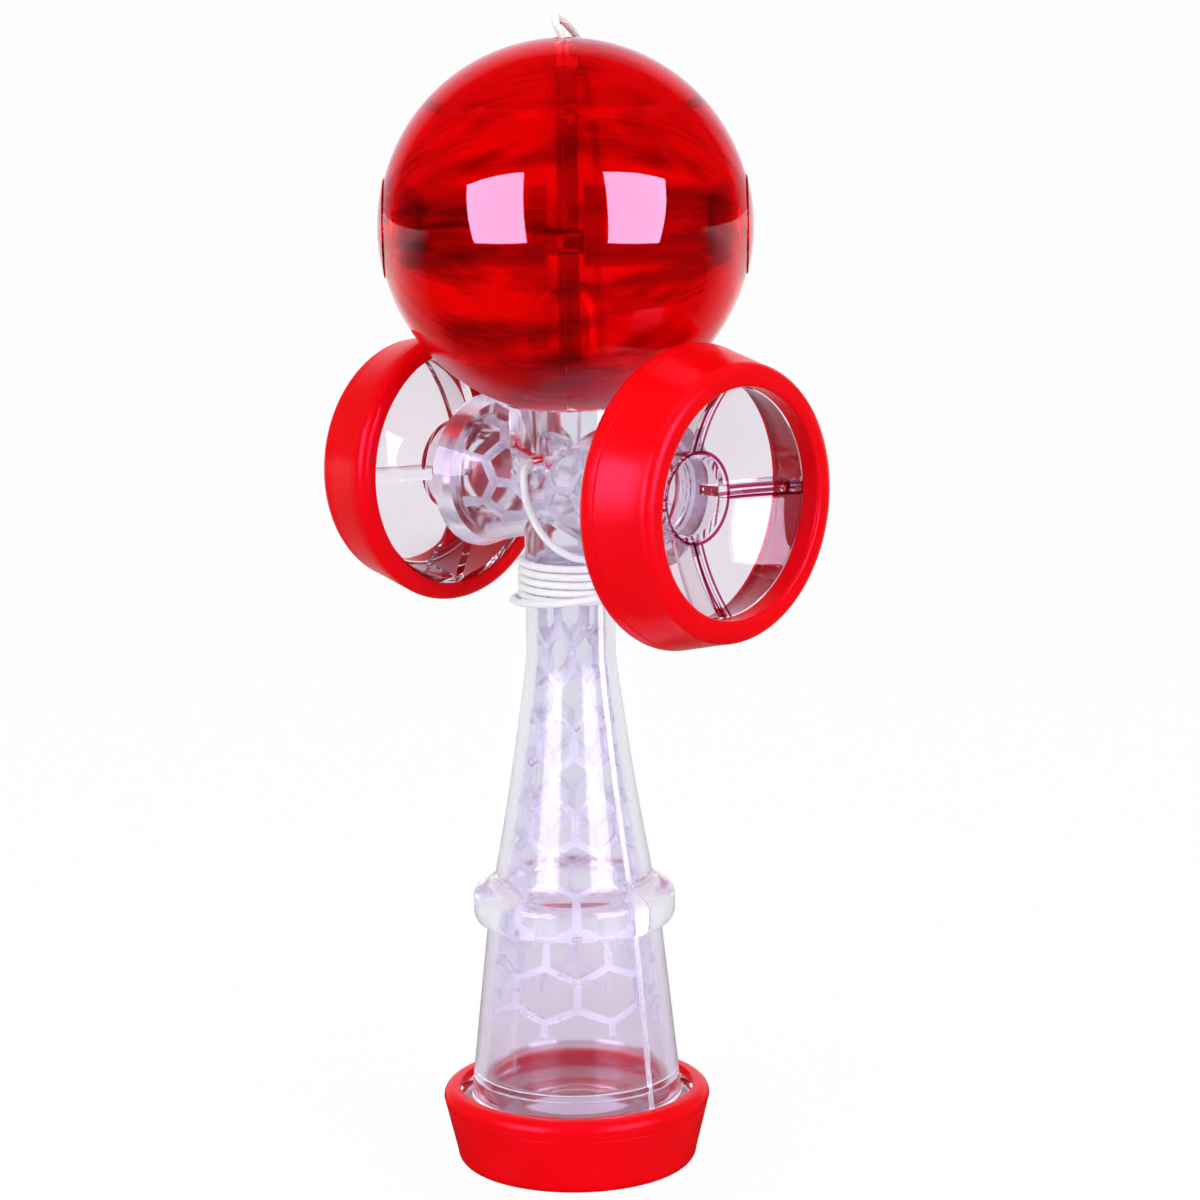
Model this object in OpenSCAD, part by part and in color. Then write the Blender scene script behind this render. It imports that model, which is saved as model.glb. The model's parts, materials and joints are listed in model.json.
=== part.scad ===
// Kendama of clear plastic with red rubber cup rings and a lit, translucent ball on its spike.
// Millimetres. The Z axis runs up the handle, the base cup's rim stands on z = 0,
// the big cup opens towards +X, the small cup towards -X, and the string hole faces -Y.

/* [Ball] */
// Diameter of the ball
ball_d = 60; // [56:0.5:62]
// Wall of the ball's half shells
ball_wall = 2.6; // [2:0.1:3.2]
// Diameter of the flat rim round the ball's spike hole
ball_mouth_d = 18.2; // [17:0.2:20]
// Diameter of the ball's spike hole
ball_hole_d = 15.8; // [15:0.1:16.4]
// Radial play between the spike and its hole in the ball
spike_play = 0.7; // [0.4:0.1:1]
// Gap between the resting ball and its seat
rest_gap = 0.2; // [0.1:0.05:0.5]
// Turn of the resting ball about the spike
ball_yaw = 43; // [0:1:90]
// Height of the two inner shelves above and below the ball's middle
shelf_h = 18.5; // [16:0.5:20]
// Width of an inner shelf
shelf_w = 6; // [4:0.5:7]
// Thickness of the inner shelves
shelf_t = 1.3; // [1:0.1:2]
// Diameter of the string hole in the ball's top
top_hole_d = 3.2; // [2.8:0.1:4]

/* [Lights] */
// Diameter of the cover at each pole of the ball
cap_d = 16; // [14:0.5:18]
// How far the covers stand proud of the ball
cap_proud = 0.2; // [0:0.05:0.5]
// Depth of a cover's seat below the ball's pole
cap_seat = 2.7; // [2.4:0.1:3.2]
// Thickness of a cover over its cells
cap_roof = 1.35; // [1.1:0.05:1.5]
// Diameter of a button cell
cell_d = 7.9; // [6.8:0.1:8.4]
// Thickness of a button cell
cell_t = 2.1; // [1.6:0.1:2.3]
// Diameter of a light board
board_d = 10.4; // [9.6:0.1:11]
// Thickness of a light board
board_t = 1; // [0.8:0.1:1.4]
// Thickness of a contact plate
contact_t = 0.35; // [0.2:0.05:0.5]
// Diameter of a light
led_d = 3; // [2:0.1:4]
// Wall of a light socket
socket_wall = 1.3; // [1:0.1:1.8]
// Distance of a light socket's inner end from the ball's middle
socket_end = 3; // [2:0.5:6]

/* [Handle] */
// Diameter of the handle's foot
foot_d = 35; // [33:0.2:36]
// Diameter of the handle just below the collar
low_d = 28.7; // [27:0.1:30]
// Diameter of the collar bead
collar_d = 33.3; // [32:0.1:35]
// Height of the collar bead
collar_z = 45.4; // [42:0.2:50]
// Rounding of the collar bead
bead_round = 2.2; // [1.8:0.1:2.6]
// Fillet between the collar bead and the cone above it
bead_fillet = 3; // [2.4:0.1:3.4]
// Diameter of the neck that the string is wound on
neck_d = 14.7; // [13.6:0.1:15.4]
// Height where the cone ends and the neck begins
neck_z = 86; // [82:0.5:90]
// How far the cone's sides draw in between its ends
cone_bow = 0.3; // [0:0.05:0.6]
// Wall of the clear half shells
shell_wall = 1.8; // [1.5:0.1:2.1]
// Gap between the two half shells at their seam
seam = 0.12; // [0.06:0.02:0.2]

/* [Crosspiece] */
// Height of the crosspiece's axis
barrel_z = 114.8; // [112:0.2:118]
// Diameter of the crosspiece at its middle
waist_d = 18.4; // [17.6:0.1:19.4]
// Diameter of the crosspiece at its ends
barrel_end_d = 25.4; // [24:0.1:27]
// Length of the crosspiece between its ends
barrel_len = 37; // [35:0.5:40]
// Thickness of the crosspiece's end walls
end_wall = 1.8; // [1.4:0.1:2.2]
// Height of the ball's seat above the crosspiece's axis
seat_h = 12.5; // [12:0.1:13.5]
// Diameter of the ball's seat
seat_d = 19.2; // [18.4:0.1:20.4]
// Length of the spike above its seat
spike_len = 20.5; // [17:0.5:21]
// How much narrower the spike is at its round tip, in radius
spike_taper = 1; // [0.5:0.1:1.5]
// Height of the string hole above the crosspiece's axis
string_hole_h = 3.8; // [3:0.1:4.6]
// Diameter of the string hole
string_hole_d = 2.6; // [2.2:0.1:3]

/* [Cups] */
// Distance from the handle's axis to the face of each side cup
cup_face = 37.5; // [36.5:0.1:39]
// Greatest diameter of the big cup's ring
big_ring_d = 49; // [47:0.2:49.6]
// Greatest diameter of the small cup's ring
small_ring_d = 45.2; // [43:0.2:47]
// Greatest diameter of the base cup's ring
base_ring_d = 44.3; // [43:0.1:46]
// Depth of the rings from face to back
ring_depth = 13; // [12.4:0.1:13.6]
// Radial width of a ring from its mouth to its widest line
ring_w = 6.1; // [5.6:0.1:6.6]
// How much a ring narrows towards its face, in radius
ring_taper = 2.2; // [1.6:0.1:2.6]
// Rubber over the dish inside a ring
ring_skin = 1.9; // [1.5:0.1:2.2]
// Rounding of a ring's face edge
face_round = 2; // [1.4:0.1:2.2]
// Rounding of a ring's back edge
back_round = 1.8; // [1.4:0.1:2.2]
// Rounding of a ring's mouth
mouth_round = 0.7; // [0.4:0.1:1]
// Depth of a ring's front lip
front_lip = 3.4; // [3:0.1:4]
// Thickness of a ring's back lip
back_lip = 1.4; // [1:0.1:1.8]
// Radial width of a ring's back lip
back_lip_w = 2.7; // [2.4:0.1:3]
// Depth of the side cups' hollow
dish_depth = 7; // [6:0.1:7.4]
// Depth of the base cup's hollow
base_dish_depth = 5.4; // [4.5:0.1:5.8]
// Wall of the dishes
dish_wall = 1.8; // [1.4:0.1:2]
// Wall of the skirt that a ring grips
skirt_wall = 1.8; // [1.5:0.1:2.1]
// Diameter of the hub behind a side cup
hub_d = 15.2; // [14:0.1:15.6]
// Wall of the hub
hub_wall = 1.2; // [1:0.1:1.6]
// Diameter of the flange that holds a hub in the crosspiece
hub_flange_d = 18.4; // [17.6:0.1:18.6]
// Thickness of that flange
hub_flange_t = 1.5; // [1.2:0.1:1.8]
// Thickness of the ribs behind a dish
rib_t = 1.8; // [1.2:0.1:2.2]
// How far the ribs rise along the hub
rib_rise = 5; // [3:0.5:6]
// Height of the spigot that holds the base cup in the foot
spigot_h = 4; // [3.4:0.1:5]
// Wall of that spigot
spigot_wall = 1.3; // [1:0.1:1.6]
// How far the spigot's bead stands out
spigot_bead = 0.7; // [0.5:0.05:0.9]

/* [Net] */
// Thickness of the frosted net
net_t = 0.9; // [0.7:0.1:1.2]
// Width of the net's strands in the handle
strand_w = 1.2; // [0.9:0.1:1.6]
// Width of the net's strands in the crosspiece
barrel_strand_w = 1.3; // [1:0.1:1.9]
// Cells round the handle and round the crosspiece
net_cells = 8; // [8:2:10]
// Height of one row of cells in the handle
net_row = 6.8; // [6:0.1:7.6]
// Width of one row of cells in the crosspiece
barrel_row = 6.6; // [6:0.1:7.2]
// Lower end of the handle's net
net_low_z = 25; // [22:0.5:34]
// Upper end of the handle's net
net_high_z = 101; // [92:0.5:103]

/* [String] */
// Diameter of the string
string_d = 0.9; // [0.7:0.05:1]
// Rise from turn to turn of the winding
wind_pitch = 1.35; // [1.32:0.01:1.4]
// Turns wound tight on the neck
wind_turns = 5.5; // [4.5:1:5.5]
// Height where the first tight turn begins
wind_top = 102.7; // [102.5:0.1:102.9]
// Radius of the loose turn below the tight ones
loose_r = 9.5; // [9.4:0.05:9.6]
// Diameter of the stop bead inside the ball
bead_d = 5.8; // [5.2:0.1:6.4]
// Diameter of the knots
knot_d = 4; // [3.4:0.1:4.4]

/* [Fits] */
// Gap between pieces that are fitted together
fit = 0.1; // [0.06:0.01:0.15]
// Gap between the string and what it lies on
string_gap = 0.15; // [0.1:0.05:0.2]

/* [Hidden] */

$fn = 96;
clear_col = [0.9, 0.91, 0.95, 0.4];
frost_col = [0.97, 0.97, 1, 0.8];
rubber_col = [0.86, 0.03, 0.05];
ball_col = [0.8, 0.02, 0.03, 0.7];
string_col = [0.97, 0.97, 0.97];
steel_col = [0.7, 0.71, 0.73];
brass_col = [0.82, 0.62, 0.25];
board_col = [0.12, 0.16, 0.14];
led_col = [1, 0.75, 0.6];

// A length that is longer than any piece
far = 4 * cup_face;
// A small overlap that makes pieces of one solid run into each other
bite = 0.4;

ball_r = ball_d / 2;
mouth_r = ball_mouth_d / 2;
foot_r = foot_d / 2;
low_r = low_d / 2;
collar_r = collar_d / 2;
neck_r = neck_d / 2;
barrel_half = barrel_len / 2;
hub_r = hub_d / 2;
big_r = big_ring_d / 2;
small_r = small_ring_d / 2;
base_r = base_ring_d / 2;
string_r = string_d / 2;

// Depths behind a ring's face of the dish's front edge and of its skirt's back edge
dish_front = front_lip + fit;
skirt_back = ring_depth - back_lip - fit;
foot_z = skirt_back + fit;
seat_z = barrel_z + seat_h;
ball_hole_r = ball_hole_d / 2;
spike_r = ball_hole_r - spike_play;
ball_z = seat_z + rest_gap + sqrt(ball_r * ball_r - mouth_r * mouth_r);

// The collar bead runs through a fillet into the cone above it
bead_end = 75;
bead_low_z = collar_z - bead_round;
fillet_r = collar_r - bead_round + (bead_round + bead_fillet) * cos(bead_end);
fillet_z = collar_z + (bead_round + bead_fillet) * sin(bead_end);
cone_r = fillet_r - bead_fillet;

// Points of an arc from one angle to another
function arc(cx, cy, r, from, to, steps = 6) =
    [for (i = [0 : steps]) let (a = from + (to - from) * i / steps) [cx + r * cos(a), cy + r * sin(a)]];

// Points of the cone's side, radius then height
cone_steps = 6;
cone_side = [for (i = [0 : cone_steps]) let (t = i / cone_steps)
    [cone_r + (neck_r - cone_r) * t - 4 * cone_bow * t * (1 - t), fillet_z + (neck_z - fillet_z) * t]];

// Inner radius of the handle at a height; it passes inside both the handle below the bead and the bead's root
bead_root_r = min(low_r, collar_r - bead_round);
inner_table = concat([[foot_z, foot_r - shell_wall], [bead_low_z - bead_round, bead_root_r - shell_wall]],
    [for (p = cone_side) [p[1], p[0] - shell_wall]], [[barrel_z, neck_r - shell_wall]]);
function handle_in(z) = lookup(z, inner_table);

// Outer radius of the crosspiece at a distance from its middle
function barrel_r(x) = waist_d / 2 + (barrel_end_d - waist_d) / 2 * pow(x / barrel_half, 2);

// Radius of a dish's skirt at a depth behind the ring's face
function rim_r(r, u) = r - ring_skin - ring_taper
    * (1 - (u - face_round) / (ring_depth - back_round - face_round));

// Sphere that a dish's hollow belongs to: opening radius, radius and depth of its centre
function dish_open(r) = r - ring_w - 2 * fit;
function dish_sphere(r, depth) = (pow(dish_open(r), 2) + depth * depth) / (2 * depth);
function dish_centre(r, depth) = dish_front + depth - dish_sphere(r, depth);

module at_big_cup() { translate([cup_face, 0, barrel_z]) rotate([0, -90, 0]) children(); }
module at_small_cup() { translate([-cup_face, 0, barrel_z]) rotate([0, 90, 0]) children(); }
module along_x() { translate([0, 0, barrel_z]) rotate([0, 90, 0]) children(); }
module along_y(z) { translate([0, 0, z]) rotate([-90, 0, 0]) children(); }
module at_ball() { translate([0, 0, ball_z]) rotate([0, 0, ball_yaw]) children(); }
// Pole of the ball on one side: the local Z axis runs out through the pole
module at_pole(side) { at_ball() rotate([0, 90 * side, 0]) children(); }

// Half space on one side of the seam, front for -1 and back for 1
module seam_half(side) {
    translate([-far, side > 0 ? seam / 2 : -far - seam / 2, -far]) cube([2 * far, far, 3 * far]);
}

// Outside of the handle
module handle_outside() {
    rotate_extrude() polygon(concat(
        [[0, foot_z], [foot_r, foot_z], [low_r, bead_low_z - bead_round]],
        arc(collar_r - bead_round, bead_low_z, bead_round, -90, 0),
        arc(collar_r - bead_round, collar_z, bead_round, 0, bead_end),
        arc(fillet_r, fillet_z, bead_fillet, 180 + bead_end, 180),
        [for (i = [1 : cone_steps]) cone_side[i]],
        [[neck_r, barrel_z], [0, barrel_z]]));
}

// Hollow of the handle, with the groove for the base cup's spigot bead
module handle_inside() {
    rotate_extrude() polygon(concat([[0, foot_z - bite], [foot_r - shell_wall, foot_z - bite]],
        [for (p = inner_table) [p[1], p[0]]], [[0, barrel_z]]));
    translate([0, 0, spigot_bead_z - fit])
        cylinder(r = spigot_r + spigot_bead + fit, h = spigot_bead_h + 2 * fit);
}

barrel_steps = 8;
// Crosspiece drawn in by a wall, between two distances from its middle
module barrel_form(wall, half) {
    along_x() rotate_extrude() polygon(concat([[0, -half]],
        [for (i = [-barrel_steps : barrel_steps])
            let (x = half * i / barrel_steps) [barrel_r(x) - wall, x]],
        [[0, half]]));
}

// Spike with its round tip, drawn in by a wall
module spike_form(wall) {
    tip_r = spike_r - spike_taper - wall;
    tip_z = seat_z + spike_len - spike_r + spike_taper;
    translate([0, 0, barrel_z]) cylinder(r = spike_r - wall, h = seat_h);
    translate([0, 0, seat_z]) cylinder(r1 = spike_r - wall, r2 = tip_r, h = tip_z - seat_z);
    translate([0, 0, tip_z]) sphere(r = tip_r);
}

string_hole_z = barrel_z + string_hole_h;
module string_hole() {
    along_y(string_hole_z) translate([0, 0, -far]) cylinder(d = string_hole_d, h = far);
}

// Room for the base ring's back lip where it passes the foot
module lip_room() {
    room = back_lip + fit;
    translate([0, 0, foot_z]) difference() {
        translate([0, 0, -bite]) cylinder(r = base_r + bite, h = room + bite);
        translate([0, 0, -2 * bite]) cylinder(r = base_r - back_lip_w - fit, h = room + 3 * bite);
    }
}

// One half of the clear body: handle, crosspiece, ball seat and spike
module ken_half(side) {
    intersection() {
        difference() {
            union() {
                handle_outside();
                barrel_form(0, barrel_half);
                translate([0, 0, barrel_z]) cylinder(d = seat_d, h = seat_h);
                spike_form(0);
            }
            handle_inside();
            lip_room();
            barrel_form(shell_wall, barrel_half - end_wall);
            spike_form(shell_wall);
            for (at = [-barrel_half, barrel_half - end_wall])
                along_x() translate([0, 0, at - bite]) cylinder(r = hub_r + fit, h = end_wall + 2 * bite);
            if (side < 0) string_hole();
        }
        seam_half(side);
    }
}

// Cell of the net: a hexagon with two points along its height
module net_cell(w, h) {
    linear_extrude(far)
        polygon([[0, h / 2], [w / 2, h / 4], [w / 2, -h / 4],
            [0, -h / 2], [-w / 2, -h / 4], [-w / 2, h / 4]]);
}

// Frosted net that lines one half of the handle
cell_turn = 360 / net_cells;
net_rows = floor((net_high_z - net_low_z) / net_row);
module handle_net(side) {
    turn = side > 0 ? 180 : 0;
    heights = concat([net_low_z], [for (p = inner_table) if (p[0] > net_low_z && p[0] < net_high_z) p[0]],
        [net_high_z]);
    difference() {
        intersection() {
            rotate_extrude() polygon(concat([for (z = heights) [handle_in(z) - fit, z]],
                [for (i = [len(heights) - 1 : -1 : 0]) [handle_in(heights[i]) - fit - net_t, heights[i]]]));
            seam_half(side);
        }
        for (i = [0 : net_rows], k = [0 : net_cells / 2 - i % 2]) {
            z = net_low_z + net_row * i;
            a = turn - 90 + cell_turn * (k + (i % 2) / 2);
            w = 2 * (handle_in(z) - fit) * sin(cell_turn / 2) - strand_w;
            rotate([0, 0, a]) translate([0, 0, z]) rotate([90, 0, 0])
                net_cell(w, net_row * 4 / 3 - strand_w);
        }
    }
}

// Frosted net that lines one half of the crosspiece
barrel_net_half = barrel_half - end_wall - hub_flange_t - 3 * fit;
barrel_rows = floor(barrel_net_half / barrel_row);
module barrel_net(side) {
    turn = side > 0 ? 180 : 0;
    inner = shell_wall + fit;
    cell_h = barrel_row * 4 / 3 - barrel_strand_w;
    difference() {
        intersection() {
            difference() {
                barrel_form(inner, barrel_net_half);
                barrel_form(inner + net_t, barrel_net_half + bite);
            }
            seam_half(side);
        }
        for (i = [-barrel_rows : barrel_rows], k = [0 : net_cells / 2 - abs(i) % 2]) {
            x = barrel_row * i;
            a = turn + cell_turn * (k + abs(i) % 2 / 2);
            w = 2 * (barrel_r(x) - inner) * sin(cell_turn / 2) - barrel_strand_w;
            start = barrel_r(max(abs(x) - cell_h / 2, 0)) - inner - net_t - bite;
            translate([x, 0, barrel_z]) rotate([a, 0, 0]) translate([0, 0, start]) rotate([0, 0, 90])
                net_cell(w, cell_h);
        }
        cylinder(r = neck_r - shell_wall + fit, h = barrel_z);
        translate([0, 0, barrel_z]) cylinder(r = spike_r - shell_wall + fit, h = far);
        if (side < 0) string_hole();
    }
}

// Rubber ring with its face on the local z = 0 and its back lip above
module cup_ring(r) {
    ring_mouth = r - ring_w;
    rotate_extrude() polygon(concat(
        arc(ring_mouth + mouth_round, mouth_round, mouth_round, 180, 270, 4),
        arc(r - ring_taper - face_round, face_round, face_round, 270, 360),
        arc(r - back_round, ring_depth - back_round, back_round, 0, 90),
        [[r - back_lip_w, ring_depth], [r - back_lip_w, ring_depth - back_lip],
         [rim_r(r, skirt_back) + fit, ring_depth - back_lip], [rim_r(r, dish_front) + fit, front_lip],
         [ring_mouth, front_lip]]));
}

// Clear dish inside a ring: hollow, wall and the skirt that the ring grips
module dish_bowl(r, depth) {
    rim = [[rim_r(r, dish_front), dish_front], [rim_r(r, skirt_back), skirt_back]];
    intersection() {
        translate([0, 0, dish_centre(r, depth)]) sphere(r = dish_sphere(r, depth) + dish_wall);
        rotate_extrude() polygon(concat([[0, dish_front]], rim, [[rim[1][0], far], [0, far]]));
    }
    rotate_extrude() polygon(concat(rim,
        [[rim[1][0] - skirt_wall, skirt_back], [rim[0][0] - skirt_wall, dish_front]]));
}
module dish_hollow(r, depth) {
    translate([0, 0, dish_centre(r, depth)]) sphere(r = dish_sphere(r, depth));
}

// Side cup's dish with the hub and ribs behind it
hub_end = cup_face - barrel_half + end_wall + fit + hub_flange_t;
module side_dish(r) {
    hub_start = dish_front + dish_depth;
    rib_front = dish_front + bite;
    rib_back = skirt_back + rib_rise;
    difference() {
        union() {
            dish_bowl(r, dish_depth);
            difference() {
                union() {
                    translate([0, 0, hub_start]) cylinder(r = hub_r, h = hub_end - hub_start);
                    translate([0, 0, hub_end - hub_flange_t]) cylinder(d = hub_flange_d, h = hub_flange_t);
                    intersection() {
                        for (a = [0, 90])
                            rotate([0, 0, a]) translate([-r, -rib_t / 2, 0]) cube([2 * r, rib_t, rib_back]);
                        rotate_extrude() polygon([[0, rib_front], [rim_r(r, dish_front) - bite, rib_front],
                            [rim_r(r, skirt_back) - bite, skirt_back - bite], [hub_r, rib_back],
                            [0, rib_back]]);
                    }
                }
                translate([0, 0, hub_start + dish_wall / 2]) cylinder(r = hub_r - hub_wall, h = far);
                translate([0, 0, dish_centre(r, dish_depth)])
                    sphere(r = dish_sphere(r, dish_depth) + dish_wall / 2);
            }
        }
        dish_hollow(r, dish_depth);
    }
}

// Base cup's dish: a plate closes it above, and a spigot holds it in the foot
spigot_bead_h = 1;
spigot_bead_z = foot_z + spigot_h - spigot_bead_h - fit;
spigot_r = handle_in(foot_z + spigot_h) - fit;
module base_dish() {
    plate_t = skirt_back - dish_front - base_dish_depth;
    difference() {
        union() {
            dish_bowl(base_r, base_dish_depth);
            translate([0, 0, skirt_back - plate_t])
                cylinder(r = rim_r(base_r, skirt_back - plate_t) - bite, h = plate_t);
            difference() {
                union() {
                    translate([0, 0, skirt_back - bite]) cylinder(r = spigot_r, h = spigot_h + bite);
                    translate([0, 0, spigot_bead_z])
                        cylinder(r = spigot_r + spigot_bead, h = spigot_bead_h);
                }
                translate([0, 0, skirt_back]) cylinder(r = spigot_r - spigot_wall, h = far);
            }
        }
        dish_hollow(base_r, base_dish_depth);
    }
}

// Inside of the ball: wall line, light axis and sockets, counted from the ball's middle
ball_in = ball_r - ball_wall;
cap_z = ball_r - cap_seat;
cap_r = cap_d / 2;
cap_floor = ball_r - cap_roof;
cells_z = cap_floor - fit - 2 * cell_t - fit;
contact_z = cells_z - fit - contact_t;
board_z = contact_z - fit - board_t;
board_seat = board_z - fit;
socket_r = board_d / 2 + fit + socket_wall;
flange_depth = 2;
left_flange_w = 1;
right_flange_w = 2.2;
boss_len = 3;
seam_boss_r = 2;
seam_pin_r = 1;
spike_tube_h = 5;
spike_tube_wall = 1.2;

// One half of the ball on its -X side, with pins or with pin holes at its seam
module tama_half(flange_w, pins) {
    seam_boss_y = ball_in - flange_depth - seam_boss_r + bite;
    mouth_h = sqrt(ball_r * ball_r - mouth_r * mouth_r);
    tube_top = ball_r - mouth_h + spike_tube_h;
    shelf_in = sqrt(ball_in * ball_in - shelf_h * shelf_h) - shelf_w;
    difference() {
        intersection() {
            union() {
                difference() {
                    sphere(r = ball_r);
                    sphere(r = ball_in);
                }
                intersection() {
                    sphere(r = ball_in + bite);
                    union() {
                        difference() {
                            translate([-flange_w, -far, -far]) cube([2 * flange_w, 2 * far, 2 * far]);
                            sphere(r = ball_in - flange_depth);
                        }
                        for (h = [-shelf_h, shelf_h]) translate([0, 0, h - shelf_t / 2]) difference() {
                            cylinder(r = ball_r, h = shelf_t);
                            translate([0, 0, -bite]) cylinder(r = shelf_in, h = shelf_t + 2 * bite);
                        }
                        seam_bosses(seam_boss_y, seam_boss_r, boss_len);
                        rotate([0, -90, 0]) translate([0, 0, socket_end])
                            cylinder(r = socket_r, h = ball_r);
                        translate([0, 0, -ball_r])
                            cylinder(r = ball_hole_r + spike_tube_wall, h = tube_top);
                    }
                }
            }
            translate([-far - seam / 2, -far, -far]) cube([far, 2 * far, 2 * far]);
        }
        translate([0, 0, -far - mouth_h]) cylinder(r = ball_r, h = far);
        translate([0, 0, -ball_r]) cylinder(r = ball_hole_r, h = tube_top + bite);
        cylinder(d = top_hole_d, h = far);
        rotate([0, -90, 0]) {
            translate([0, 0, socket_end - bite]) cylinder(r = socket_r - socket_wall - bite, h = far);
            translate([0, 0, board_seat]) cylinder(r = socket_r - socket_wall, h = far);
            translate([0, 0, cap_z]) cylinder(r = cap_r + fit, h = far);
        }
        if (!pins) seam_bosses(seam_boss_y, seam_pin_r + fit, boss_len + bite);
    }
    if (pins) seam_bosses(seam_boss_y, seam_pin_r, boss_len - bite);
}

// Bosses, pins or pin holes across the ball's seam, before and behind its middle
module seam_bosses(y, r, reach) {
    for (side = [-1, 1]) translate([-reach, side * y, 0]) rotate([0, 90, 0]) cylinder(r = r, h = 2 * reach);
}

// Round cover that closes a light socket, flush with the ball
module cap(side) {
    at_pole(side) difference() {
        intersection() {
            sphere(r = ball_r + cap_proud);
            translate([0, 0, cap_z + fit]) cylinder(r = cap_r, h = ball_r);
        }
        translate([0, 0, cap_z]) cylinder(r = cell_d / 2 + 3 * fit, h = cap_floor - cap_z);
    }
}

// A pair of cells, each a wide can with a narrower face
can_h = 0.7 * cell_t;
cell_face_d = cell_d - 1;
module cells(side) {
    at_pole(side) for (i = [0, 1]) translate([0, 0, cells_z + i * (cell_t + fit)]) {
        cylinder(d = cell_d, h = can_h);
        cylinder(d = cell_face_d, h = cell_t);
    }
}
module contact(side) {
    at_pole(side) translate([0, 0, contact_z]) difference() {
        cylinder(d = cell_d, h = contact_t);
        translate([0, 0, -bite]) cylinder(d = cell_d / 3, h = contact_t + 2 * bite);
    }
}
module board(side) {
    at_pole(side) translate([0, 0, board_z]) cylinder(d = board_d, h = board_t);
}

// Round-ended light with a rim where it stands on its board
led_z = board_z - fit / 2;
led_rim_d = 1.2 * led_d;
led_rim_h = 0.3 * led_d;
module led(side) {
    at_pole(side) {
        translate([0, 0, led_z - led_rim_h]) cylinder(d = led_rim_d, h = led_rim_h);
        translate([0, 0, led_z - led_d]) cylinder(d = led_d, h = led_d);
        translate([0, 0, led_z - led_d]) sphere(d = led_d);
    }
}

// Direction along a path at one of its points
function along(path, i) = let (d = path[min(i + 1, len(path) - 1)] - path[max(i - 1, 0)]) d / norm(d);

// Smooth points through a route, a few for each of its spans
function through(p, steps) = concat([for (i = [0 : len(p) - 2], k = [0 : steps - 1])
    let (a = p[max(i - 1, 0)], b = p[i], c = p[i + 1], d = p[min(i + 2, len(p) - 1)], t = k / steps)
    0.5 * (2 * b + (c - a) * t + (2 * a - 5 * b + 4 * c - d) * t * t + (3 * b - a - 3 * c + d) * t * t * t)],
    [p[len(p) - 1]]);

// Round tube along a path, as one closed skin of triangles
module tube(path, d, sides) {
    n = len(path);
    first = let (c = cross(along(path, 0), [1, 0, 0])) c / norm(c);
    normals = [for (i = 0, q = first; i < n; i = i + 1,
        q = let (t = along(path, min(i, n - 1)), c = q - t * (q * t)) c / norm(c)) q];
    points = [for (i = [0 : n - 1], k = [0 : sides - 1])
        let (t = along(path, i), u = normals[i], v = cross(t, u), a = 360 * k / sides)
        path[i] + d / 2 * (u * cos(a) + v * sin(a))];
    skin = [for (i = [0 : n - 2], k = [0 : sides - 1])
        let (a = i * sides + k, b = i * sides + (k + 1) % sides, c = a + sides, e = b + sides)
        each [[a, c, b], [b, c, e]]];
    ends = [for (k = [1 : sides - 2]) each [[0, k, k + 1],
        [(n - 1) * sides, (n - 1) * sides + k + 1, (n - 1) * sides + k]]];
    polyhedron(points, concat(skin, ends));
}

// The string leaves its knot through the hole, runs down the crosspiece and is wound on the neck
lead_route = [[0, -3.4, 118.6], [0, -4.6, 118.6], [0, -5.6, 118.6], [0, -6.8, 118.6], [0, -8, 118.6],
    [0, -9.2, 118.5], [0, -10.1, 117.9], [0, -10.5, 116.8], [0, -10.4, 115.2], [0, -10.2, 113.5],
    [0.2, -9.8, 111.8], [0.6, -9.3, 110.1], [1.2, -8.8, 108.5], [2.1, -8.3, 107], [3.2, -7.6, 105.6],
    [4.5, -6.8, 104.5], [5.8, -5.6, 103.6], [6.9, -4.1, 103.1], [7.6, -2.4, 102.8]];
// From the loose turn the string climbs behind the ball, goes over its top and down its hole
run_route = [[-1, 9.5, 100.2], [-2, 9.5, 100.4], [-3.9, 9.6, 101], [-5.6, 9.9, 102.2], [-6.9, 10.5, 104],
    [-7.9, 11.4, 106.4], [-8.7, 12.6, 109.4], [-9.4, 14.1, 113], [-10.2, 15.8, 117], [-11.2, 17.7, 121.5],
    [-12.3, 19.7, 126.5], [-13.5, 21.7, 132], [-14.8, 23.6, 138], [-16, 25.1, 144.5], [-16.8, 26.1, 151],
    [-17, 26.4, 157.5], [-16.4, 25.7, 164], [-15, 23.7, 170.3], [-12.8, 20.5, 176], [-10, 16.3, 181],
    [-7.2, 11.2, 185], [-5, 5.9, 187.9], [-3.2, 1.9, 189], [-1.6, -0.1, 188.5], [-0.8, -0.3, 187.5],
    [-0.2, -0.1, 186.2], [0, 0, 184.6], [0, 0, 182], [0, 0, 179], [0, 0, 175.3]];

// Turns on the neck, ring by ring
turn_rings = 24;
wind_r = neck_r + string_r + string_gap;
wind_low = wind_top - wind_pitch * wind_turns;
tight_turns = [for (i = [0 : turn_rings * wind_turns - 1]) let (a = 360 * i / turn_rings)
    [wind_r * cos(a), wind_r * sin(a), wind_top - wind_pitch * i / turn_rings]];
// The loose turn swings out from the tight ones at the left, crosses the front and rises at the back
loose_sweep = 270;
loose_high = 100;
loose_rise = loose_high - wind_low;
loose_rings = 18;
loose_out = 0.2;
loose_turn = [for (i = [0 : loose_rings]) let (s = i / loose_rings, a = 180 + loose_sweep * s,
    out = min(1, s / loose_out), r = wind_r + (loose_r - wind_r) * out * out * (3 - 2 * out))
    [r * cos(a), r * sin(a), wind_low + loose_rise * s * s]];
winding_path = concat(lead_route, tight_turns, loose_turn, [run_route[0]]);

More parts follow.
